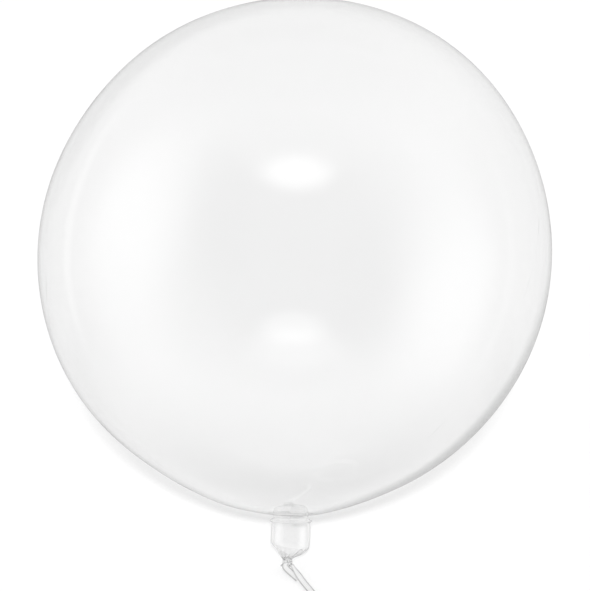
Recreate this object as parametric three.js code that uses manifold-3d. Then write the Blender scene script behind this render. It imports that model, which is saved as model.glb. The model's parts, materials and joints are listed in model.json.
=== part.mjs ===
// A clear bubble balloon lying on a flat surface: a film globe blown round and tight, with its tied
// neck and the ribbon it is tied with. The air-filled film is one sealed, solid body.
// Millimetres, +Z up. The origin is the middle of the small flat spot that the globe rests on, and
// the neck points towards -Y and down, just clear of the surface.
import * as THREE from 'three';
import { mergeVertices } from 'three/addons/utils/BufferGeometryUtils.js';
import Module from 'manifold-3d';

const wasm = await Module();
wasm.setup();

// Globe
const GLOBE_RADIUS = 200;
const REST_SPOT_RADIUS = 26;
const REST_HEIGHT = Math.sqrt(GLOBE_RADIUS ** 2 - REST_SPOT_RADIUS ** 2);

// Neck: distances along its axis are measured from the globe's centre
const NECK_BELOW_LEVEL = THREE.MathUtils.degToRad(52);
const NECK_DRAW = 3.2; // how far the neck pulls the film out of round
const NECK_DRAW_SPREAD = 24; // degrees around the neck that it reaches
const NECK_ROOT_RADIUS = 20;
const COLLAR_AT = 208.6;
const COLLAR_RADIUS = 16.2;
const POUCH_RADIUS = 15.3;
const POUCH_TOP = COLLAR_AT + 1.6;
const POUCH_SHOULDER = 226.5;
const GATHER_RADIUS = 2.8;
const GATHER_AT = 238.2;
const TAIL_RADIUS = 3.6;
const TAIL_END = 244.5;

// Ribbon
const GAP = 0.3; // between pieces that touch
const RIBBON_WIDTH = 5;
const TIE_AT = 240;
const TIE_HEIGHT = 3.4;
const TIE_RADIUS = 5.2;
const KNOT_RADIUS = 2.9;
const KNOT_OUT = 6.4; // from the neck's axis to the middle of the knot
const COIL_CENTRE = [61, -222];
const COIL_MIDDLE_RADIUS = 27.5;
const COIL_TURNS = 5.4;
const COIL_PITCH = 1.9;

// Roundness
const GLOBE_STEP = 5; // degrees
const ROUND_SIDES = 72;
const TIE_SIDES = 32;
const RIBBON_SIDES = 8;
const RIBBON_STEPS = 24;

const centre = new THREE.Vector3(0, 0, REST_HEIGHT);
const neckAxis = new THREE.Vector3(0, -Math.cos(NECK_BELOW_LEVEL), -Math.sin(NECK_BELOW_LEVEL));
const neckUpperSide = new THREE.Vector3(0, -Math.sin(NECK_BELOW_LEVEL), Math.cos(NECK_BELOW_LEVEL));

const film = new THREE.MeshStandardMaterial({
  color: 0xf3f5f5,
  roughness: 0.05,
  metalness: 0,
  transparent: true,
  opacity: 0.35,
});
const ribbonFilm = new THREE.MeshStandardMaterial({ color: 0xe6e8e8, roughness: 0.3, metalness: 0 });

const balloonGroup = new THREE.Group();

function addPiece(name, geometry, material) {
  const mesh = new THREE.Mesh(geometry, material);
  mesh.name = name;
  balloonGroup.add(mesh);
}

function toSolid(geometry) {
  const bare = geometry.clone();
  bare.deleteAttribute('normal');
  bare.deleteAttribute('uv');
  const welded = mergeVertices(bare);
  const corners = welded.index.array;
  const triVerts = [];
  for (let i = 0; i < corners.length; i += 3) {
    const [a, b, c] = corners.slice(i, i + 3);
    if (a !== b && b !== c && c !== a) {
      triVerts.push(a, b, c);
    }
  }
  return new wasm.Manifold(new wasm.Mesh({
    numProp: 3,
    vertProperties: new Float32Array(welded.attributes.position.array),
    triVerts: new Uint32Array(triVerts),
  }));
}

function toGeometry(solid) {
  const mesh = solid.getMesh();
  const geometry = new THREE.BufferGeometry();
  geometry.setAttribute('position', new THREE.BufferAttribute(mesh.vertProperties, 3));
  geometry.setIndex(new THREE.BufferAttribute(mesh.triVerts, 1));
  geometry.computeVertexNormals();
  return geometry;
}

// Turns a shape lathed about its own Y so that Y runs down the neck from the globe's centre.
function alongNeck(geometry) {
  const turn = new THREE.Quaternion().setFromUnitVectors(new THREE.Vector3(0, 1, 0), neckAxis);
  return geometry.applyQuaternion(turn).translate(centre.x, centre.y, centre.z);
}

function onNeck(distance) {
  return centre.clone().addScaledVector(neckAxis, distance);
}

// The globe's radius at an angle in degrees from the neck's axis.
function globeRadius(angle) {
  const nearness = THREE.MathUtils.smoothstep(NECK_DRAW_SPREAD - angle, 0, NECK_DRAW_SPREAD);
  return GLOBE_RADIUS + NECK_DRAW * nearness;
}

// Radius and distance along the neck's axis, from the globe's far pole to the end of the film tail.
function balloonProfile() {
  const points = [new THREE.Vector2(0, -GLOBE_RADIUS)];
  const rootAngle = Math.asin(NECK_ROOT_RADIUS / (GLOBE_RADIUS + NECK_DRAW));
  const lastAngle = THREE.MathUtils.radToDeg(rootAngle) + GLOBE_STEP / 2;
  for (let angle = 180 - GLOBE_STEP; angle > lastAngle; angle -= GLOBE_STEP) {
    const radius = globeRadius(angle);
    const turn = THREE.MathUtils.degToRad(angle);
    points.push(new THREE.Vector2(radius * Math.sin(turn), radius * Math.cos(turn)));
  }
  const root = new THREE.Vector2(NECK_ROOT_RADIUS, NECK_ROOT_RADIUS / Math.tan(rootAngle));
  const collar = new THREE.Vector2(COLLAR_RADIUS, COLLAR_AT);
  const corner = new THREE.Vector2(COLLAR_RADIUS, root.y);
  points.push(...new THREE.QuadraticBezierCurve(root, corner, collar).getPoints(4));
  points.push(new THREE.Vector2(POUCH_RADIUS, POUCH_TOP));
  const shoulder = new THREE.Vector2(POUCH_RADIUS, POUCH_SHOULDER);
  const gather = new THREE.Vector2(GATHER_RADIUS, GATHER_AT);
  const shoulderCorner = new THREE.Vector2(POUCH_RADIUS, POUCH_SHOULDER + 4.5);
  const gatherCorner = new THREE.Vector2(GATHER_RADIUS + 5, GATHER_AT - 3.2);
  points.push(...new THREE.CubicBezierCurve(shoulder, shoulderCorner, gatherCorner, gather).getPoints(5));
  points.push(new THREE.Vector2(GATHER_RADIUS, TIE_AT + TIE_HEIGHT / 2));
  points.push(new THREE.Vector2(TAIL_RADIUS, TAIL_END));
  points.push(new THREE.Vector2(0, TAIL_END));
  return points;
}

function makeBalloon() {
  const whole = toSolid(alongNeck(new THREE.LatheGeometry(balloonProfile(), ROUND_SIDES)));
  const tableDepth = 20;
  const table = new THREE.BoxGeometry(GLOBE_RADIUS, GLOBE_RADIUS, tableDepth);
  table.translate(0, 0, -tableDepth / 2);
  addPiece('balloon', toGeometry(whole.subtract(toSolid(table))), film);
}

const knot = onNeck(TIE_AT).addScaledVector(neckUpperSide, KNOT_OUT);

// The ribbon's turns round the gathered neck, with the knot on their upper side.
function makeTie() {
  const inner = GATHER_RADIUS + GAP;
  const low = TIE_AT - TIE_HEIGHT / 2;
  const high = TIE_AT + TIE_HEIGHT / 2 - GAP;
  const ease = 0.8;
  const profile = [
    new THREE.Vector2(inner, low),
    new THREE.Vector2(TIE_RADIUS - ease, low),
    new THREE.Vector2(TIE_RADIUS, low + ease),
    new THREE.Vector2(TIE_RADIUS, high - ease),
    new THREE.Vector2(TIE_RADIUS - ease, high),
    new THREE.Vector2(inner, high),
    new THREE.Vector2(inner, low),
  ];
  const turns = toSolid(alongNeck(new THREE.LatheGeometry(profile, TIE_SIDES)));
  const lump = new THREE.SphereGeometry(KNOT_RADIUS, 20, 12).translate(knot.x, knot.y, knot.z);
  const hole = new THREE.CylinderGeometry(inner, inner, 4 * TIE_HEIGHT, TIE_SIDES);
  const neckHole = toSolid(alongNeck(hole.translate(0, TIE_AT, 0)));
  addPiece('ribbon_tie', toGeometry(turns.add(toSolid(lump)).subtract(neckHole)), ribbonFilm);
}

// The ribbon's free stretch: out of the knot, down to the surface and along it to the coil.
const RIBBON_ROUTE = [
  [1.6, -154.9, 11.3],
  [3.8, -157.5, 9.0],
  [6.2, -160.2, 6.8],
  [8.7, -163.2, 4.9],
  [11.3, -166.5, 3.5],
  [13.9, -170.0, 2.7],
  [16.3, -173.8, 2.5],
  [18.5, -177.7, 2.5],
  [20.3, -181.8, 2.5],
  [21.5, -186.1, 2.5],
  [22.1, -190.5, 2.5],
  [22.3, -195.0, 2.5],
  [22.6, -199.5, 2.5],
  [23.2, -204.0, 2.5],
  [24.4, -208.7, 2.5],
  [26.3, -213.8, 2.5],
];

function makeRibbon() {
  const section = new THREE.Shape();
  for (let side = 0; side < RIBBON_SIDES; side += 1) {
    const turn = side / RIBBON_SIDES * 2 * Math.PI;
    const corner = [RIBBON_WIDTH / 2 * Math.cos(turn), RIBBON_WIDTH / 2 * Math.sin(turn)];
    if (side === 0) {
      section.moveTo(...corner);
    } else {
      section.lineTo(...corner);
    }
  }
  section.closePath();
  const route = new THREE.CatmullRomCurve3(
    RIBBON_ROUTE.map((point) => new THREE.Vector3(...point)), false, 'catmullrom', 0.5,
  );
  const settings = { steps: RIBBON_STEPS, extrudePath: route, bevelEnabled: false };
  addPiece('ribbon', new THREE.ExtrudeGeometry(section, settings), ribbonFilm);
}

// The rest of the ribbon, wound on edge in a flat round coil.
function makeCoil() {
  const halfDepth = COIL_TURNS * COIL_PITCH / 2 + 0.6;
  const inner = COIL_MIDDLE_RADIUS - halfDepth;
  const outer = COIL_MIDDLE_RADIUS + halfDepth;
  const profile = [
    new THREE.Vector2(inner, 0),
    new THREE.Vector2(outer, 0),
    new THREE.Vector2(outer, RIBBON_WIDTH),
    new THREE.Vector2(inner, RIBBON_WIDTH),
    new THREE.Vector2(inner, 0),
  ];
  const ring = new THREE.LatheGeometry(profile, ROUND_SIDES).rotateX(Math.PI / 2);
  addPiece('ribbon_coil', ring.translate(...COIL_CENTRE, 0), ribbonFilm);
}

makeBalloon();
makeTie();
makeRibbon();
makeCoil();

export default balloonGroup;
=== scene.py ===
"""A clear bubble balloon: stretched film blown round, with its filling valve, tied neck and ribbon."""
import json
import math

import bpy
import numpy as np
from bpy.props import FloatProperty, IntProperty, PointerProperty, StringProperty
from mathutils import Matrix, Vector


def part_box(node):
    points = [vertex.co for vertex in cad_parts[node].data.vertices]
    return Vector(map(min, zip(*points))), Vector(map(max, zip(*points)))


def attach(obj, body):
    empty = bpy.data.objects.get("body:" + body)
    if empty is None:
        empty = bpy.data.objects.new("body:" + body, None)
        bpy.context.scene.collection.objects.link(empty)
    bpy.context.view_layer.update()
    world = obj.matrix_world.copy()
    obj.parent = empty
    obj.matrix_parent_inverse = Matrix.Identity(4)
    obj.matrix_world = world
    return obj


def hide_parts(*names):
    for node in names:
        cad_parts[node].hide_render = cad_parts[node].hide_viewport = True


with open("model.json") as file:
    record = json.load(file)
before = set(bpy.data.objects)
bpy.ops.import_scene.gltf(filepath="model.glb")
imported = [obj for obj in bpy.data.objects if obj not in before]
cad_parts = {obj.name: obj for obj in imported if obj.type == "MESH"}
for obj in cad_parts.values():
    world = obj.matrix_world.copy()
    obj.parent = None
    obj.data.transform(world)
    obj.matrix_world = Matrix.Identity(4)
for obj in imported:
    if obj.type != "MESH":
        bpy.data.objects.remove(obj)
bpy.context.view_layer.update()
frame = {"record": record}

bl_info = {
    "name": "Clear Bubble Balloon",
    "version": (1, 0, 0),
    "blender": (4, 5, 0),
    "location": "3D View > Sidebar > Balloon",
    "description": "Builds a clear bubble balloon with its valve, neck tie and curling ribbon",
    "category": "Add Mesh",
}

# Metres and degrees throughout, unless a name ends in another unit.
MM = 0.001

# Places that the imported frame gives
BALLOON_LOW, BALLOON_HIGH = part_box("balloon")
GLOBE_RADIUS = (BALLOON_HIGH.x - BALLOON_LOW.x) / 2
REST_SPOT_RADIUS = 26 * MM
CENTRE = Vector((0, 0, math.sqrt(GLOBE_RADIUS**2 - REST_SPOT_RADIUS**2)))
TIE_MOUNT = next(mount for mount in frame["record"]["mounts"] if mount["name"] == "neck_tie")
ACROSS = Vector((1, 0, 0))
NECK_AXIS = Vector(TIE_MOUNT["axis"]).normalized()
NECK_UPPER_SIDE = NECK_AXIS.cross(ACROSS)
COIL_LOW, COIL_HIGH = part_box("ribbon_coil")
RIBBON_WIDTH = COIL_HIGH.z - COIL_LOW.z

# The globe's slight unevenness: degrees from the neck's axis, degrees round it from the neck's upper
# side towards +X, height in mm, and spread in degrees.
GLOBE_SWELLS = (
    (45, 90, -2.2, 22),
    (142, 90, 3.3, 20),
    (17, -90, 1.4, 7),
    (34, -90, -1.2, 9),
    (65, -90, 1.3, 18),
    (127, -90, -3.0, 17),
    (162, -90, -1.0, 13),
    (96, 8, 0.8, 26),
    (70, 176, -1.0, 24),
    (128, 168, 1.1, 22),
)
NECK_DRAW = 3.8 * MM
NECK_DRAW_SPREAD = 24
STANDS_PROUD = 0.9 * MM
SETTLE = 0.4 * MM
# The film's rings on the globe, in degrees from the neck's axis: first, end and step. They lie closest
# on the half towards the neck.
NECK_ROOT = 4.7
GLOBE_RINGS = ((179, 112, -2), (111.6, 30, -0.9), (30, NECK_ROOT + 0.6, -1.2))

# Fold marks that the flat bag leaves: where each runs, in degrees round the neck's axis at FOLD_FROM
# degrees from it, its first and last angle from that axis, and its height in mm.
FOLD_FROM = 41
FOLD_SLANT = 0.47
FOLD_MARKS = (
    (41.0, 38, 108, 0.08),
    (-90.5, 58, 88, 0.10),
    (-28.0, 118, 160, 0.05),
    (118.0, 60, 150, 0.07),
    (178.0, 64, 128, 0.05),
    (-146.0, 44, 120, 0.07),
)
FOLD_HALF_WIDTH = 0.6 * MM
# Columns of the film beside each fold mark, in degrees
FOLD_SIDES = np.array([-0.62, -0.36, -0.2, -0.08, 0.08, 0.2, 0.36, 0.62])

# The neck's profile from the globe to the end of the film tail: radius and distance from the globe's
# centre along the neck's axis, in mm.
NECK_PROFILE = (
    (16.4, 203.0),
    (15.0, 203.6),
    (13.8, 204.5),
    (13.3, 205.4),
    (13.6, 206.3),
    (15.0, 207.2),
    (16.2, 207.9),
    (16.2, 208.8),
    (15.0, 209.6),
    (14.7, 210.0),
    (14.9, 210.8),
    (15.2, 212.2),
    (15.3, 218.5),
    (15.4, 224.5),
    (15.3, 227.0),
    (14.9, 228.3),
    (13.6, 229.5),
    (10.4, 232.2),
    (7.2, 234.8),
    (4.7, 236.8),
    (3.4, 238.1),
    (2.8, 239.2),
    (2.6, 240.6),
    (3.1, 242.2),
    (4.1, 244.0),
)
# More places along the neck, from the globe's centre
NECK_LEAN = -2.2 * MM
LEAN_FROM = 221 * MM
CREASE_AT = 209.0 * MM
CREASE_DEPTH = 0.9 * MM
LEFT_EAR = 0.2 * MM
RIGHT_EAR = 0.3 * MM
POUCH_FROM = 214 * MM
SHOULDER_AT = 228.5 * MM
GATHER_FROM = 228 * MM
GATHERED_AT = 238 * MM
INNER_END = 237.6 * MM
TIE_AT = 240 * MM
TAIL_FROM = 241 * MM
TAIL_WIDE_AT = 244 * MM

# The filling valve: its two ends along the neck, and how far it lies to the side
VALVE_FROM = 196.5 * MM
VALVE_TO = 208.6 * MM
VALVE_SIDE = 5.6 * MM
VALVE_HALF_THICKNESS = 0.35 * MM

# The ribbon's free stretch, as the part's source has it, in mm
RIBBON_ROUTE = (
    (1.6, -154.9, 11.3),
    (3.8, -157.5, 9.0),
    (6.2, -160.2, 6.8),
    (8.7, -163.2, 4.9),
    (11.3, -166.5, 3.5),
    (13.9, -170.0, 2.7),
    (16.3, -173.8, 2.5),
    (18.5, -177.7, 2.5),
    (20.3, -181.8, 2.5),
    (21.5, -186.1, 2.5),
    (22.1, -190.5, 2.5),
    (22.3, -195.0, 2.5),
    (22.6, -199.5, 2.5),
    (23.2, -204.0, 2.5),
    (24.4, -208.7, 2.5),
    (26.3, -213.8, 2.5),
)
COIL_TURNS = 5.4
COIL_PITCH = 1.9 * MM
# Along the ribbon: where it has opened to its full width, and where it turns from facing up to standing
# on edge
OPENS_FROM = 1 * MM
OPEN_AT = 10 * MM
TURNS_FROM = 26 * MM
ON_EDGE_AT = 60 * MM

# The ribbon's tie: its turns round the neck, the knot's place and size, and the route of the cut end
# from the knot, in mm across, down the neck and out of it
TIE_TURNS = 3
TURNS_AT = 239.2 * MM
TURNS_RADIUS = 3.3 * MM
TURNS_PITCH = 0.75 * MM
KNOT_AT = 240.3 * MM
KNOT_OUT = 5.0 * MM
KNOT_SIZE = 0.85 * MM
CORD_SIDES = 14
CUT_END_ROUTE = (
    (0.0, 0.0, 0.6),
    (-1.2, 1.4, 0.8),
    (-1.6, 3.2, 0.5),
    (-0.2, 5.4, 0.5),
    (2.2, 7.6, 0.6),
    (5.2, 10.2, 1.0),
    (8.4, 12.9, 2.0),
)

# The film's shadow is full below the first height and gone above the second.
SHADOW_LOW = 80 * MM
SHADOW_HIGH = 170 * MM

# Inputs and output of Blender's Mix node for colours, which share their names with those for numbers
MIX_A = 6
MIX_B = 7
MIX_RESULT = 2


# Numbers and shapes


def ease(value, start, end):
    """0 before start, 1 after end, and smooth between them."""
    share = np.clip((value - start) / (end - start), 0, 1)
    return share * share * (3 - 2 * share)


def through(points, steps):
    """A smooth curve through the points, with that many steps between each two."""
    points = np.array(points, float)
    last = 2 * points[-1] - points[-2]
    padded = np.vstack([2 * points[0] - points[1], points, last])
    share = np.arange(steps)[:, None] / steps
    spans = []
    for p0, p1, p2, p3 in zip(padded, padded[1:], padded[2:], padded[3:]):
        slope_1 = (p2 - p0) / 2
        slope_2 = (p3 - p1) / 2
        spans.append(
            (2 * share**3 - 3 * share**2 + 1) * p1
            + (share**3 - 2 * share**2 + share) * slope_1
            + (3 * share**2 - 2 * share**3) * p2
            + (share**3 - share**2) * slope_2
        )
    return np.vstack([*spans, points[-1:]])


def evenly(line, spacing):
    """The line again, with points about that far apart."""
    lengths = np.linalg.norm(np.diff(line, axis=0), axis=1)
    along = np.concatenate([[0], np.cumsum(lengths)])
    places = np.linspace(0, along[-1], max(2, round(along[-1] / spacing) + 1))
    return np.stack([np.interp(places, along, line[:, axis]) for axis in range(3)], axis=1)


def normalised(vectors):
    return vectors / np.maximum(np.linalg.norm(vectors, axis=-1, keepdims=True), 1e-12)


def on_neck(distance, out=0.0, across=0.0):
    """A point beside the neck's axis."""
    return CENTRE + NECK_AXIS * distance + NECK_UPPER_SIDE * out + ACROSS * across


def neck_lean(distance):
    """How far the neck leans aside at a distance along its axis."""
    return NECK_LEAN * ease(distance, LEAN_FROM, TIE_AT)


def loft(rings, inward=False):
    """Points and faces of a closed skin over rings of points, with a fan on both ends."""
    rows, columns, _ = rings.shape
    points = np.vstack([rings.reshape(-1, 3), rings[0].mean(0), rings[-1].mean(0)])
    row, column = np.meshgrid(np.arange(rows - 1), np.arange(columns), indexing="ij")
    beside = (column + 1) % columns
    quads = np.stack(
        [
            row * columns + column,
            row * columns + beside,
            (row + 1) * columns + beside,
            (row + 1) * columns + column,
        ],
        axis=-1,
    ).reshape(-1, 4)
    ring = np.arange(columns)
    next_on_ring = (ring + 1) % columns
    base = (rows - 1) * columns
    first_middle = np.full(columns, rows * columns)
    last_middle = first_middle + 1
    first = np.stack([next_on_ring, ring, first_middle], axis=-1)
    last = np.stack([base + ring, base + next_on_ring, last_middle], axis=-1)
    faces = [*quads.tolist(), *first.tolist(), *last.tolist()]
    if inward:
        faces = [face[::-1] for face in faces]
    return points, faces


def make_piece(name, skins, material, spans=None):
    """One smooth mesh of several skins, at rest on the frame's body, with its material."""
    points = []
    faces = []
    count = 0
    for skin_points, skin_faces in skins:
        points.append(skin_points)
        faces += [[corner + count for corner in face] for face in skin_faces]
        count += len(skin_points)
    mesh = bpy.data.meshes.new(name)
    mesh.from_pydata(np.vstack(points).tolist(), [], faces)
    mesh.polygons.foreach_set("use_smooth", [True] * len(mesh.polygons))
    if spans is not None:
        corners = np.zeros(len(mesh.loops), np.int32)
        mesh.loops.foreach_get("vertex_index", corners)
        layer = mesh.uv_layers.new(name="ribbon_width_and_length")
        layer.data.foreach_set("uv", spans[corners].ravel().astype(np.float32))
    mesh.validate()
    mesh.materials.append(material)
    piece = bpy.data.objects.new(name, mesh)
    bpy.context.scene.collection.objects.link(piece)
    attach(piece, "root")
    return piece


# Materials


def linear(hex_colour):
    """An sRGB hex colour as linear red, green, blue and alpha."""
    parts = [int(hex_colour[i : i + 2], 16) / 255 for i in (1, 3, 5)]
    light = [part / 12.92 if part <= 0.04045 else ((part + 0.055) / 1.055) ** 2.4 for part in parts]
    return (*light, 1.0)


def add_node(tree, kind, inputs=None, **settings):
    """Adds a node with its settings, and sets or links its inputs."""
    node = tree.nodes.new(kind)
    for name, value in settings.items():
        setattr(node, name, value)
    for socket, value in (inputs or {}).items():
        if isinstance(value, bpy.types.NodeSocket):
            tree.links.new(value, node.inputs[socket])
        else:
            node.inputs[socket].default_value = value
    return node


def new_material(name):
    material = bpy.data.materials.new(name)
    material.use_nodes = True
    material.node_tree.nodes.clear()
    return material, material.node_tree


def stretched_film(name, colour, ripple):
    """Clear stretched polyurethane film, blown and cooled on a drum: glass clear, with a gloss that
    wavers a little where the film drew unevenly."""
    material, tree = new_material(name)
    place = add_node(tree, "ShaderNodeTexCoord")
    drawn = add_node(
        tree,
        "ShaderNodeTexNoise",
        {"Vector": place.outputs["Object"], "Scale": 1 / (30 * MM), "Detail": 2.0, "Roughness": 0.4},
    )
    wavering = add_node(
        tree,
        "ShaderNodeBump",
        {"Height": drawn.outputs["Fac"], "Strength": ripple, "Distance": 0.4 * MM},
    )
    shader = add_node(
        tree,
        "ShaderNodeBsdfPrincipled",
        {
            "Base Color": linear(colour),
            "Roughness": 0.02,
            "IOR": 1.5,
            "Transmission Weight": 1.0,
            "Normal": wavering.outputs["Normal"],
        },
    )
    # The film's shadow: none where light goes straight through it and dark where light grazes it,
    # fading out with height, as it does under soft light.
    slope = add_node(tree, "ShaderNodeLayerWeight", {"Blend": 0.5})
    grazing = add_node(
        tree, "ShaderNodeMath", {0: slope.outputs["Facing"], 1: 5.0}, operation="POWER"
    )
    height = add_node(tree, "ShaderNodeSeparateXYZ", {"Vector": place.outputs["Object"]})
    low = add_node(
        tree,
        "ShaderNodeMapRange",
        {
            "Value": height.outputs["Z"],
            "From Min": SHADOW_LOW,
            "From Max": SHADOW_HIGH,
            "To Min": 1.0,
            "To Max": 0.0,
        },
        interpolation_type="SMOOTHSTEP",
    )
    held_back = add_node(
        tree,
        "ShaderNodeMath",
        {0: grazing.outputs["Value"], 1: low.outputs["Result"]},
        operation="MULTIPLY",
    )
    let_through = add_node(
        tree, "ShaderNodeMapRange", {"Value": held_back.outputs["Value"], "To Min": 1.0, "To Max": 0.0}
    )
    clear = add_node(tree, "ShaderNodeBsdfTransparent", {"Color": let_through.outputs["Result"]})
    path = add_node(tree, "ShaderNodeLightPath")
    surface = add_node(
        tree,
        "ShaderNodeMixShader",
        {0: path.outputs["Is Shadow Ray"], 1: shader.outputs["BSDF"], 2: clear.outputs["BSDF"]},
    )
    add_node(tree, "ShaderNodeOutputMaterial", {"Surface": surface.outputs["Shader"]})
    return material


def welded_film(name, colour):
    """Thick polyurethane film clouded by the heat weld: half clear, with a blurred gloss."""
    material, tree = new_material(name)
    place = add_node(tree, "ShaderNodeTexCoord")
    grain = add_node(
        tree,
        "ShaderNodeTexNoise",
        {"Vector": place.outputs["Object"], "Scale": 1 / (2 * MM), "Detail": 2.0},
    )
    dimpled = add_node(
        tree, "ShaderNodeBump", {"Height": grain.outputs["Fac"], "Strength": 0.15, "Distance": 0.2 * MM}
    )
    shader = add_node(
        tree,
        "ShaderNodeBsdfPrincipled",
        {
            "Base Color": linear(colour),
            "Roughness": 0.04,
            "IOR": 1.5,
            "Transmission Weight": 0.35,
            "Normal": dimpled.outputs["Normal"],
        },
    )
    add_node(tree, "ShaderNodeOutputMaterial", {"Surface": shader.outputs["BSDF"]})
    return material


def curling_ribbon(name, colour, edge_shade_colour):
    """Curling ribbon of extruded polypropylene: pearly white, with fine ribs along it and a satin gloss
    that the ribs break up; its thicker edges get painted shade, a darker grey mixed into the colour."""
    material, tree = new_material(name)
    place = add_node(tree, "ShaderNodeTexCoord")
    ribs = add_node(
        tree,
        "ShaderNodeTexWave",
        {"Vector": place.outputs["UV"], "Scale": 1.3, "Distortion": 0.6, "Detail": 1.0},
        bands_direction="X",
    )
    ribbed = add_node(
        tree,
        "ShaderNodeBump",
        {"Height": ribs.outputs["Fac"], "Strength": 0.35, "Distance": 0.1 * MM},
    )
    across = add_node(tree, "ShaderNodeSeparateXYZ", {"Vector": place.outputs["UV"]})
    from_middle = add_node(
        tree, "ShaderNodeMath", {0: across.outputs["X"], 1: 0.5}, operation="SUBTRACT"
    )
    from_middle = add_node(
        tree, "ShaderNodeMath", {0: from_middle.outputs["Value"]}, operation="ABSOLUTE"
    )
    # Painted shade: the colour turns to the darker edge grey towards both edges of the ribbon.
    painted_edge_shade = add_node(
        tree,
        "ShaderNodeMapRange",
        {"Value": from_middle.outputs["Value"], "From Min": 0.2, "From Max": 0.46},
        interpolation_type="SMOOTHSTEP",
    )
    rib_share = add_node(
        tree, "ShaderNodeMapRange", {"Value": ribs.outputs["Fac"], "To Min": 0.0, "To Max": 0.35}
    )
    # The edges' painted shade, with the ribs' own darker tone added on.
    edge_shade_and_rib_tone = add_node(
        tree,
        "ShaderNodeMath",
        {0: painted_edge_shade.outputs["Result"], 1: rib_share.outputs["Result"]},
        operation="ADD",
        use_clamp=True,
    )
    colours = add_node(
        tree,
        "ShaderNodeMix",
        {"Factor": edge_shade_and_rib_tone.outputs["Value"], MIX_A: linear(colour), MIX_B: linear(edge_shade_colour)},
        data_type="RGBA",
    )
    haze = add_node(
        tree,
        "ShaderNodeTexNoise",
        {"Vector": place.outputs["Object"], "Scale": 1 / (4 * MM), "Detail": 2.0},
    )
    gloss = add_node(
        tree,
        "ShaderNodeMapRange",
        {"Value": haze.outputs["Fac"], "To Min": 0.2, "To Max": 0.36},
    )
    shader = add_node(
        tree,
        "ShaderNodeBsdfPrincipled",
        {
            "Base Color": colours.outputs[MIX_RESULT],
            "Roughness": gloss.outputs["Result"],
            "IOR": 1.49,
            "Normal": ribbed.outputs["Normal"],
        },
    )
    add_node(tree, "ShaderNodeOutputMaterial", {"Surface": shader.outputs["BSDF"]})
    return material


# The film bag


def fold_columns(step):
    """Angles round the neck's axis for the film's columns: even, and close together at each fold."""
    angles = np.arange(0, 360, step)
    for start, *_ in FOLD_MARKS:
        apart = np.abs((angles - start + 180) % 360 - 180)
        angles = np.concatenate([angles[apart > 1.0], (start + FOLD_SIDES) % 360])
    return np.sort(angles)


def globe_radius(from_neck, around):
    """The globe's radius at angles in degrees from the neck's axis and round it."""
    down = np.radians(from_neck)
    turn = np.radians(around)
    radius = GLOBE_RADIUS + STANDS_PROUD + NECK_DRAW * (1 - ease(from_neck, 0, NECK_DRAW_SPREAD))
    swell = 0.0
    for mark_down, mark_turn, height, spread in GLOBE_SWELLS:
        cosine = np.cos(down) * math.cos(math.radians(mark_down)) + np.sin(down) * math.sin(
            math.radians(mark_down)
        ) * np.cos(turn - math.radians(mark_turn))
        apart = np.degrees(np.arccos(np.clip(cosine, -1, 1)))
        swell = swell + height * MM * np.exp(-0.5 * (apart / spread) ** 2)
    return radius + swell * ease(from_neck, NECK_ROOT, NECK_ROOT + 9)


def fold_height(from_neck, columns):
    """How far the fold marks stand out of the film, in broken lengths."""
    height = 0.0
    for number, (start, first, last, rise) in enumerate(FOLD_MARKS):
        apart = (columns - start + 180) % 360 - 180
        distance = np.radians(apart) * GLOBE_RADIUS * np.sin(np.radians(from_neck))
        ridge = np.exp(-((distance / FOLD_HALF_WIDTH) ** 2))
        run = np.radians(from_neck)
        broken = np.sin(31 * run + number) + 0.8 * np.sin(53 * run + 2.3 * number) + 0.5
        within = ease(from_neck, first, first + 5) * (1 - ease(from_neck, last - 5, last))
        height = height + rise * MM * ridge * np.clip(broken, 0, 1.3) * within
    return height


def neck_rings(settings, columns):
    """The film's radius, distance along the neck and angle round it, from the globe to the tail's end."""
    profile = through(NECK_PROFILE, 3)[1:] * MM
    out = profile[:, :1]
    along = profile[:, 1:] + 0 * columns
    turn = np.radians(columns + FOLD_SLANT * (NECK_ROOT - FOLD_FROM))
    # One shoulder of the pouch sits lower than the other.
    lower = ease(along, POUCH_FROM, SHOULDER_AT) * (1 - ease(along, 231 * MM, GATHERED_AT))
    along = along + settings.shoulder_slope * lower * np.sin(turn)
    # The collar's crease stands out in small ears at its two ends.
    at_crease = np.exp(-(((along - CREASE_AT) / CREASE_DEPTH) ** 2))
    left = LEFT_EAR * np.clip(-np.sin(turn), 0, 1) ** 8
    right = RIGHT_EAR * np.clip(np.sin(turn), 0, 1) ** 8
    # Pleats gather the film into the tie and fan out again in the tail.
    phase = settings.pleats * turn + 0.9 * np.sin(3 * turn + 0.7) + 0.5 * np.sin(5 * turn + 2.1)
    pouch = 0.004 * ease(along, CREASE_AT, POUCH_FROM)
    gather = 0.24 * ease(along, GATHER_FROM, GATHERED_AT) ** 2
    tail = 0.14 * ease(along, TAIL_FROM, TAIL_WIDE_AT)
    out = (out + at_crease * (left + right)) * (1 + (pouch + gather + tail) * np.sin(phase))
    return out, along, turn + 0 * profile[:, :1]


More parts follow.
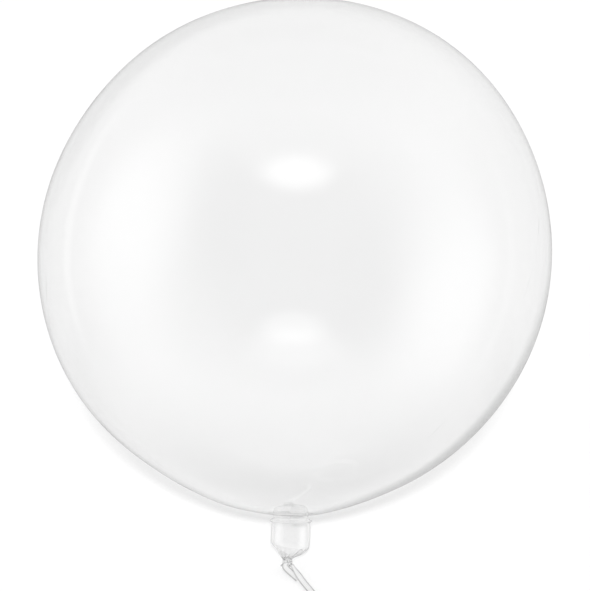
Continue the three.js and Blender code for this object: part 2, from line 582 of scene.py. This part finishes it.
def film_rings(settings):
    """Rings of points down the film's outside, from the globe's far pole to the end of the tail, and
    each ring's distance along the neck's axis."""
    columns = fold_columns(settings.column_step)[None, :]
    from_neck = np.concatenate([*(np.arange(*run) for run in GLOBE_RINGS), [NECK_ROOT]])[:, None]
    around = columns + FOLD_SLANT * (from_neck - FOLD_FROM)
    radius = globe_radius(from_neck, around) + fold_height(from_neck, columns)
    neck_out, neck_along, neck_turn = neck_rings(settings, columns)

    out = np.vstack([radius * np.sin(np.radians(from_neck)), neck_out])
    along = np.vstack([radius * np.cos(np.radians(from_neck)), neck_along])
    turn = np.vstack([np.radians(around), neck_turn])
    rings = (
        np.array(CENTRE)
        + along[..., None] * np.array(NECK_AXIS)
        + (out * np.cos(turn))[..., None] * np.array(NECK_UPPER_SIDE)
        + (out * np.sin(turn) + neck_lean(along))[..., None] * np.array(ACROSS)
    )
    # The film settles flat where the globe rests.
    rings[..., 2] = (rings[..., 2] + np.sqrt(rings[..., 2] ** 2 + SETTLE**2)) / 2
    return rings, along.mean(1)


def ring_normals(rings):
    """Outward directions at the points of the film's rings."""
    round_ring = np.roll(rings, -1, axis=1) - np.roll(rings, 1, axis=1)
    down_rings = np.gradient(rings, axis=0)
    return normalised(np.cross(down_rings, round_ring))


class BALLOON_OT_film(bpy.types.Operator):
    """Add the film bag: the globe, its puffed neck and the tail past the tie"""

    bl_idname = "balloon.film"
    bl_label = "Film"

    def execute(self, context):
        settings = context.scene.balloon_film
        rings, along = film_rings(settings)
        outward = ring_normals(rings)
        inside = along < INNER_END
        inner = (rings - outward * settings.thickness)[inside]
        material = stretched_film("stretched_clear_film", settings.colour, settings.ripple)
        film = make_piece("film", [loft(rings, inward=True), loft(inner)], material)
        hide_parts("balloon")
        return {"FINISHED"}


class BALLOON_OT_valve(bpy.types.Operator):
    """Add the flat filling valve that is sealed inside the neck"""

    bl_idname = "balloon.valve"
    bl_label = "Filling valve"

    def execute(self, context):
        settings = context.scene.balloon_film
        along = np.linspace(VALVE_FROM, VALVE_TO, 40)[:, None]
        turn = np.radians(np.arange(0, 360, 10))[None, :]
        narrowing = 1 - 0.25 * ease(along, 200 * MM, VALVE_FROM)
        half_width = settings.valve_width / 2 * (1 - 0.03 * np.cos(along / (1.1 * MM)))
        wave = 0.5 * MM * np.sin(along / (2.4 * MM))
        across = VALVE_SIDE + half_width * narrowing * np.cos(turn)
        out = wave + VALVE_HALF_THICKNESS * np.sin(turn)
        rings = (
            np.array(CENTRE)
            + along[..., None] * np.array(NECK_AXIS)
            + across[..., None] * np.array(ACROSS)
            + out[..., None] * np.array(NECK_UPPER_SIDE)
        )
        material = welded_film("welded_valve_film", settings.colour)
        valve = make_piece("filling_valve", [loft(rings)], material)
        return {"FINISHED"}


# The ribbon


def strip_rings(line, overs, widths, thickness):
    """Rings of points round a flat strip on a line, and each point's share of the way across it. Its
    edges are a little thicker than its middle, and it curls up slightly along them."""
    tangents = normalised(np.gradient(line, axis=0))
    overs = normalised(overs - (overs * tangents).sum(1, keepdims=True) * tangents)
    facing = np.cross(overs, tangents)
    side = np.array([-1, -0.97, -0.86, -0.72, -0.35, 0, 0.35, 0.72, 0.86, 0.97])
    side = np.concatenate([side, -side])
    upper = np.concatenate([np.ones(10), -np.ones(10)])
    upper[[0, 10]] = 0
    bead = 1 + 1.0 * ease(np.abs(side), 0.7, 0.88)
    curl = 0.07 * side**2
    spots = side[None, :, None] * widths[:, None, None] / 2 * overs[:, None, :]
    depth = (upper * bead)[None, :] * thickness / 2 + curl[None, :] * widths[:, None]
    return line[:, None, :] + spots + depth[..., None] * facing[:, None, :], (side + 1) / 2


def ring_spans(across, lengths, width):
    """Each point's share of the way across a ribbon, and its distance along it in ribbon widths."""
    spans = np.stack(np.broadcast_arrays(across[None, :], lengths[:, None] / width), axis=-1)
    ends = [[0.5, lengths[0] / width], [0.5, lengths[-1] / width]]
    return np.vstack([spans.reshape(-1, 2), ends])


def facing_up(line):
    """Directions across a strip on a line that show its face to someone above the neck."""
    tangents = normalised(np.gradient(line, axis=0))
    return normalised(np.cross(tangents, np.array(NECK_UPPER_SIDE)))


def ribbon_line():
    """The ribbon's centreline: its free stretch, then its coil."""
    free = through(RIBBON_ROUTE, 8) * MM
    middle = (COIL_LOW + COIL_HIGH) / 2
    outer = (COIL_HIGH.x - COIL_LOW.x) / 2 - 0.6 * MM
    start = free[-1] - np.array(middle)
    first_angle = math.atan2(start[1], start[0])
    turns = np.arange(0.02, COIL_TURNS, 1 / 48)
    angles = first_angle + 2 * math.pi * turns
    radii = outer - COIL_PITCH * turns
    coil = np.stack([radii * np.cos(angles), radii * np.sin(angles), 0 * radii], axis=1) + np.array(middle)
    return free, coil


class BALLOON_OT_ribbon(bpy.types.Operator):
    """Add the curling ribbon: its free stretch and the coil of the rest of its length"""

    bl_idname = "balloon.ribbon"
    bl_label = "Ribbon"

    def execute(self, context):
        settings = context.scene.balloon_ribbon
        free, coil = ribbon_line()
        line = evenly(np.vstack([free, coil]), 1.2 * MM)
        lengths = np.concatenate([[0], np.cumsum(np.linalg.norm(np.diff(line, axis=0), axis=1))])
        on_edge = ease(lengths, TURNS_FROM, ON_EDGE_AT)[:, None]
        overs = (1 - on_edge) * facing_up(line) + on_edge * np.array([[0, 0, -1.0]])
        widths = settings.width * (0.55 + 0.45 * ease(lengths, OPENS_FROM, OPEN_AT))
        rings, across = strip_rings(line, overs, widths, settings.thickness)
        spans = ring_spans(across, lengths, settings.width)
        material = curling_ribbon("extruded_curling_ribbon", settings.colour, settings.edge_shade_colour)
        ribbon = make_piece("curling_ribbon", [loft(rings)], material, spans)
        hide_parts("ribbon", "ribbon_coil")
        # Reflections look past the ribbon to the studio, as they do past the floor.
        ribbon.visible_glossy = False
        return {"FINISHED"}


def cord_rings(line, half_width, half_depth, folds):
    """Rings of points round a scrunched cord on a line."""
    tangents = normalised(np.gradient(line, axis=0))
    level = normalised(np.cross(tangents, line - np.array(on_neck(TIE_AT))))
    upright = np.cross(level, tangents)
    turn = np.linspace(0, 2 * math.pi, CORD_SIDES, endpoint=False)
    rough = 1 + folds * np.sin(4 * turn)[None, :] * np.ones((len(line), 1))
    return (
        line[:, None, :]
        + (half_width * np.cos(turn) * rough)[..., None] * level[:, None, :]
        + (half_depth * np.sin(turn) * rough)[..., None] * upright[:, None, :]
    )


def tie_turns():
    """The line of the ribbon's turns round the gathered neck."""
    angles = np.radians(np.arange(0, 360 * TIE_TURNS + 1, 6))
    radii = TURNS_RADIUS + 0.15 * MM * np.sin(2.3 * angles)
    along = TURNS_AT + TURNS_PITCH * angles / (2 * math.pi)
    return np.array(
        [
            on_neck(d, r * math.cos(a), r * math.sin(a) + float(neck_lean(d)))
            for a, r, d in zip(angles, radii, along)
        ]
    )


def knot_loops(place):
    """The line of the knot, a trefoil that lies on the turns."""
    angles = np.radians(np.arange(0, 360, 6))
    across = KNOT_SIZE * (np.sin(angles) + 2 * np.sin(2 * angles)) * 0.8
    down = KNOT_SIZE * (np.cos(angles) - 2 * np.cos(2 * angles)) * 0.8
    out = -KNOT_SIZE * np.sin(3 * angles)
    return (
        place
        + across[:, None] * np.array(ACROSS)
        + down[:, None] * np.array(NECK_AXIS)
        + out[:, None] * np.array(NECK_UPPER_SIDE)
    )


class BALLOON_OT_tie(bpy.types.Operator):
    """Add the ribbon's turns round the gathered neck, its knot and its cut end"""

    bl_idname = "balloon.tie"
    bl_label = "Neck tie"

    def execute(self, context):
        settings = context.scene.balloon_ribbon
        knot_place = np.array(on_neck(KNOT_AT, KNOT_OUT, float(neck_lean(TIE_AT))))
        cords = (
            (tie_turns(), 0.85 * MM, 0.6 * MM),
            (knot_loops(knot_place), 0.8 * MM, 0.55 * MM),
        )
        around = (np.cos(np.linspace(0, 2 * math.pi, CORD_SIDES, endpoint=False)) + 1) / 2
        skins = []
        spans = []
        for line, half_width, half_depth in cords:
            skins.append(loft(cord_rings(line, half_width, half_depth, folds=0.12), inward=True))
            spans.append(ring_spans(around, np.arange(len(line)) * 0.3 * MM, settings.width))
        end = through(CUT_END_ROUTE, 8) * MM
        end = knot_place + end @ np.array([ACROSS, NECK_AXIS, NECK_UPPER_SIDE])
        count = np.arange(len(end))
        widths = np.interp(count, [0, 14, len(end)], [1.8 * MM, settings.width, settings.width])
        rings, across = strip_rings(end, facing_up(end), widths, settings.thickness)
        skins.append(loft(rings))
        spans.append(ring_spans(across, count * 0.4 * MM, settings.width))
        material = curling_ribbon("knotted_curling_ribbon", settings.colour, settings.edge_shade_colour)
        tie = make_piece("ribbon_tie_knot", skins, material, np.vstack(spans))
        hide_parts("ribbon_tie")
        tie.visible_glossy = False
        return {"FINISHED"}


# The stage


class BALLOON_OT_camera(bpy.types.Operator):
    """Place the camera square on to the neck, looking down on the lying balloon"""

    bl_idname = "balloon.camera"
    bl_label = "Camera"

    def execute(self, context):
        settings = context.scene.balloon_stage
        roll = settings.roll
        right = ACROSS * math.cos(roll) - NECK_AXIS * math.sin(roll)
        up = -NECK_AXIS * math.cos(roll) - ACROSS * math.sin(roll)
        place = CENTRE - up * settings.drop + NECK_UPPER_SIDE * settings.distance
        data = bpy.data.cameras.new("camera")
        data.lens = settings.lens
        data.sensor_width = 36
        camera = bpy.data.objects.new("camera", data)
        camera.matrix_world = Matrix.Translation(place) @ Matrix(
            (right, up, NECK_UPPER_SIDE)
        ).transposed().to_4x4()
        context.scene.collection.objects.link(camera)
        context.scene.camera = camera
        return {"FINISHED"}


def shown_to_reflections(tree):
    """1 on paths that come to the camera straight from something glossy, and 0 on all others."""
    path = add_node(tree, "ShaderNodeLightPath")
    glossy = add_node(
        tree, "ShaderNodeMath", {0: path.outputs["Glossy Depth"], 1: 0.5}, operation="GREATER_THAN"
    )
    undiffused = add_node(
        tree, "ShaderNodeMath", {0: path.outputs["Diffuse Depth"], 1: 0.5}, operation="LESS_THAN"
    )
    both = add_node(
        tree,
        "ShaderNodeMath",
        {0: glossy.outputs["Value"], 1: undiffused.outputs["Value"]},
        operation="MULTIPLY",
    )
    return both.outputs["Value"]


# The studio's walls: brightness at directions from straight ahead of the camera (-1) to behind it (1).
# They are darkest behind the camera, and a little darker straight ahead, which draws the rim line.
STUDIO_WALLS = (
    (-1.0, 0.65),
    (-0.9, 0.90),
    (-0.5, 0.80),
    (0.2, 0.75),
    (0.6, 0.50),
    (0.8, 0.30),
    (1.0, 0.25),
)
# Softboxes and dark flags on those walls: the middle and half size across, up and towards the camera's
# side, a turn in degrees, the softness of the edge, and the brightness.
STUDIO_PANELS = {
    "ceiling": ((0.0, 1.0, -0.2), (0.90, 0.50, 0.65), 0, 0.8, 1.15),
    "high softbox": ((0.0, 0.56, 0.80), (0.23, 0.11, 0.40), 0, 0.5, 1.4),
    "low front bounce": ((0.0, -0.66, 0.70), (0.28, 0.12, 0.30), 0, 0.6, 1.1),
    "tall left softbox": ((-0.95, 0.05, 0.15), (0.40, 0.60, 0.38), 20, 0.6, 1.2),
    "low right softbox": ((0.85, -0.30, 0.15), (0.40, 0.45, 0.38), 0, 0.6, 1.1),
    "flag by the left softbox": ((-0.5, 0.25, 0.80), (0.20, 0.45, 0.50), 0, 0.5, 0.15),
    "flag below": ((0.05, -1.0, -0.20), (0.65, 0.50, 0.60), 0, 0.6, 0.1),
    "flag low on the right": ((0.35, -0.30, -0.95), (0.28, 0.22, 0.12), 0, 0.6, 0.55),
    "overhead strip": ((0.0, 0.95, -0.27), (0.35, 0.30, 0.04), 0, 0.5, 1.2),
    "left strip": ((-0.85, 0.15, -0.50), (0.30, 0.50, 0.05), 0, 0.6, 1.0),
}


def grey(brightness):
    return (brightness, brightness, brightness, 1)


def light_studio(settings):
    """A white studio: plain light all round, and walls and soft panels that show only in gloss."""
    world = bpy.data.worlds.new("studio")
    world.use_nodes = True
    world.cycles.sampling_method = "NONE"
    tree = world.node_tree
    tree.nodes.clear()
    place = add_node(tree, "ShaderNodeTexCoord")
    parts = []
    for direction in (ACROSS, -NECK_AXIS, NECK_UPPER_SIDE):
        part = add_node(
            tree,
            "ShaderNodeVectorMath",
            {0: place.outputs["Generated"], 1: direction},
            operation="DOT_PRODUCT",
        )
        parts.append(part.outputs["Value"])
    facing = add_node(tree, "ShaderNodeCombineXYZ", {"X": parts[0], "Y": parts[1], "Z": parts[2]})
    share = add_node(
        tree, "ShaderNodeMapRange", {"Value": parts[2], "From Min": -1.0, "From Max": 1.0}
    )
    walls = add_node(tree, "ShaderNodeValToRGB", {"Fac": share.outputs["Result"]})
    ramp = walls.color_ramp.elements
    while len(ramp) < len(STUDIO_WALLS):
        ramp.new(0.5)
    for element, (facing_share, brightness) in zip(ramp, STUDIO_WALLS):
        element.position = (facing_share + 1) / 2
        element.color = grey(brightness)
    light = walls.outputs["Color"]
    for name, (middle, half, turn, soft, brightness) in STUDIO_PANELS.items():
        from_panel = add_node(
            tree,
            "ShaderNodeMapping",
            {
                "Vector": facing.outputs["Vector"],
                "Location": middle,
                "Rotation": (0, 0, math.radians(turn)),
                "Scale": half,
            },
            vector_type="TEXTURE",
        )
        apart = add_node(
            tree, "ShaderNodeVectorMath", {0: from_panel.outputs["Vector"]}, operation="LENGTH"
        )
        mask = add_node(
            tree,
            "ShaderNodeMapRange",
            {
                "Value": apart.outputs["Value"],
                "From Min": 1 - soft,
                "From Max": 1 + soft,
                "To Min": 1.0,
                "To Max": 0.0,
            },
            interpolation_type="SMOOTHSTEP",
        )
        panel = add_node(
            tree,
            "ShaderNodeMix",
            {"Factor": mask.outputs["Result"], MIX_A: light, MIX_B: grey(brightness)},
            data_type="RGBA",
            label=name,
        )
        light = panel.outputs[MIX_RESULT]
    shown = add_node(
        tree,
        "ShaderNodeMix",
        {"Factor": shown_to_reflections(tree), MIX_A: grey(settings.light), MIX_B: light},
        data_type="RGBA",
    )
    background = add_node(tree, "ShaderNodeBackground", {"Color": shown.outputs[MIX_RESULT]})
    add_node(tree, "ShaderNodeOutputWorld", {"Surface": background.outputs["Background"]})
    bpy.context.scene.world = world

    # A soft lamp just above the camera casts the film's thin shadow.
    data = bpy.data.lights.new("key_lamp", "SUN")
    data.energy = settings.key_light
    data.angle = settings.key_width
    data.cycles.use_multiple_importance_sampling = False
    lamp = bpy.data.objects.new("key_lamp", data)
    lamp.rotation_euler = (math.radians(90) - settings.key_height, 0, 0)
    lamp.visible_camera = False
    lamp.visible_glossy = False
    lamp.visible_transmission = False
    bpy.context.scene.collection.objects.link(lamp)


def matt_sweep(colour):
    """A seamless sweep of matt paper: pale and even, with no gloss of its own, so it takes only soft
    contact shadows. Reflections look past it to the studio."""
    material, tree = new_material("matt_paper_sweep")
    place = add_node(tree, "ShaderNodeTexCoord")
    fibre = add_node(
        tree, "ShaderNodeTexNoise", {"Vector": place.outputs["Object"], "Scale": 1 / (2 * MM)}
    )
    tint = add_node(
        tree,
        "ShaderNodeMix",
        {"Factor": fibre.outputs["Fac"], MIX_A: linear(colour), MIX_B: linear("#FCFCFC")},
        data_type="RGBA",
    )
    paper = add_node(tree, "ShaderNodeBsdfDiffuse", {"Color": tint.outputs[MIX_RESULT]})
    clear = add_node(tree, "ShaderNodeBsdfTransparent")
    seen = add_node(
        tree,
        "ShaderNodeMixShader",
        {0: shown_to_reflections(tree), 1: paper.outputs["BSDF"], 2: clear.outputs["BSDF"]},
    )
    add_node(tree, "ShaderNodeOutputMaterial", {"Surface": seen.outputs["Shader"]})
    return material


def lay_floor(settings):
    """The round end of the sweep that the balloon lies on."""
    mesh = bpy.data.meshes.new("floor")
    turn = np.radians(np.arange(0, 360, 5))
    rim = settings.floor_radius * np.stack([np.cos(turn), np.sin(turn), 0 * turn], axis=1)
    mesh.from_pydata(rim.tolist(), [], [list(range(len(turn)))])
    mesh.materials.append(matt_sweep(settings.floor_colour))
    floor = bpy.data.objects.new("floor", mesh)
    bpy.context.scene.collection.objects.link(floor)


class BALLOON_OT_stage(bpy.types.Operator):
    """Lay the pale floor and light the studio"""

    bl_idname = "balloon.stage"
    bl_label = "Floor and light"

    def execute(self, context):
        settings = context.scene.balloon_stage
        scene = context.scene
        lay_floor(settings)
        light_studio(settings)
        scene.view_settings.view_transform = "Standard"
        scene.cycles.max_bounces = 24
        scene.cycles.transmission_bounces = 24
        scene.cycles.glossy_bounces = 12
        scene.cycles.transparent_max_bounces = 24
        scene.cycles.blur_glossy = 0.0
        return {"FINISHED"}


# Settings and panel


class BalloonFilmSettings(bpy.types.PropertyGroup):
    colour: StringProperty(
        name="Film colour", description="sRGB hex colour of the clear film", default="#FCFCFC"
    )
    thickness: FloatProperty(
        name="Film thickness",
        description="Thickness of the film, drawn a little thicker than it is so that its edge shows",
        default=0.3 * MM,
        unit="LENGTH",
        precision=5,
    )
    ripple: FloatProperty(
        name="Ripple", description="How much the film's gloss wavers", default=0.05, min=0, max=1
    )
    pleats: IntProperty(
        name="Pleats", description="Pleats gathered into the tie", default=14, min=6, max=24
    )
    shoulder_slope: FloatProperty(
        name="Shoulder slope",
        description="How much lower one shoulder of the pouch sits",
        default=2.3 * MM,
        unit="LENGTH",
    )
    column_step: FloatProperty(
        name="Column step", description="Degrees between the film's columns of faces", default=2.25
    )
    valve_width: FloatProperty(
        name="Valve width",
        description="Width of the flat filling valve",
        default=12.5 * MM,
        unit="LENGTH",
    )


class BalloonRibbonSettings(bpy.types.PropertyGroup):
    colour: StringProperty(
        name="Ribbon colour", description="sRGB hex colour of the ribbon", default="#E9E9E9"
    )
    # The edge colour is painted shade, mixed in towards the ribbon's edges.
    edge_shade_colour: StringProperty(
        name="Edge colour", description="sRGB hex colour of the ribbon's thick edges", default="#B8B8B8"
    )
    width: FloatProperty(
        name="Ribbon width", description="Width of the ribbon", default=RIBBON_WIDTH, unit="LENGTH"
    )
    thickness: FloatProperty(
        name="Ribbon thickness", description="Thickness of the ribbon", default=0.3 * MM, unit="LENGTH"
    )


class BalloonStageSettings(bpy.types.PropertyGroup):
    distance: FloatProperty(
        name="Camera distance", description="From the globe's centre", default=2.2, unit="LENGTH"
    )
    lens: FloatProperty(name="Lens", description="Focal length", default=170.9, unit="CAMERA")
    drop: FloatProperty(
        name="Aim below the centre",
        description="How far below the globe's centre the camera aims",
        default=31.8 * MM,
        unit="LENGTH",
    )
    roll: FloatProperty(
        name="Roll",
        description="Turn of the camera about its view",
        default=math.radians(0.9),
        subtype="ANGLE",
    )
    floor_radius: FloatProperty(
        name="Floor radius", description="Radius of the floor", default=14.0, unit="LENGTH"
    )
    floor_colour: StringProperty(
        name="Floor colour", description="sRGB hex colour of the paper sweep", default="#F6F6F6"
    )
    light: FloatProperty(
        name="Light", description="Brightness of the studio's light on matt surfaces", default=0.80
    )
    key_light: FloatProperty(name="Key light", description="Strength of the key lamp", default=1.25)
    key_height: FloatProperty(
        name="Key height",
        description="How high the key lamp stands",
        default=math.radians(47.7),
        subtype="ANGLE",
    )
    key_width: FloatProperty(
        name="Key width",
        description="How wide the key lamp looks",
        default=math.radians(5.5),
        subtype="ANGLE",
    )


STEPS = (
    BALLOON_OT_camera,
    BALLOON_OT_ribbon,
    BALLOON_OT_film,
    BALLOON_OT_valve,
    BALLOON_OT_tie,
    BALLOON_OT_stage,
)


class BALLOON_PT_steps(bpy.types.Panel):
    """Lists the balloon's pieces and its stage"""

    bl_label = "Clear Bubble Balloon"
    bl_space_type = "VIEW_3D"
    bl_region_type = "UI"
    bl_category = "Balloon"

    def draw(self, context):
        for step in STEPS:
            self.layout.operator(step.bl_idname)


SETTINGS = {
    "balloon_film": BalloonFilmSettings,
    "balloon_ribbon": BalloonRibbonSettings,
    "balloon_stage": BalloonStageSettings,
}
CLASSES = (*SETTINGS.values(), *STEPS, BALLOON_PT_steps)


def register():
    for one in CLASSES:
        bpy.utils.register_class(one)
    for name, group in SETTINGS.items():
        setattr(bpy.types.Scene, name, PointerProperty(type=group))


def unregister():
    for name in SETTINGS:
        delattr(bpy.types.Scene, name)
    for one in reversed(CLASSES):
        bpy.utils.unregister_class(one)


def main():
    register()
    bpy.ops.balloon.camera()
    bpy.ops.balloon.ribbon()
    bpy.ops.balloon.film()
    bpy.ops.balloon.valve()
    bpy.ops.balloon.tie()
    bpy.ops.balloon.stage()


if __name__ == "__main__":
    main()
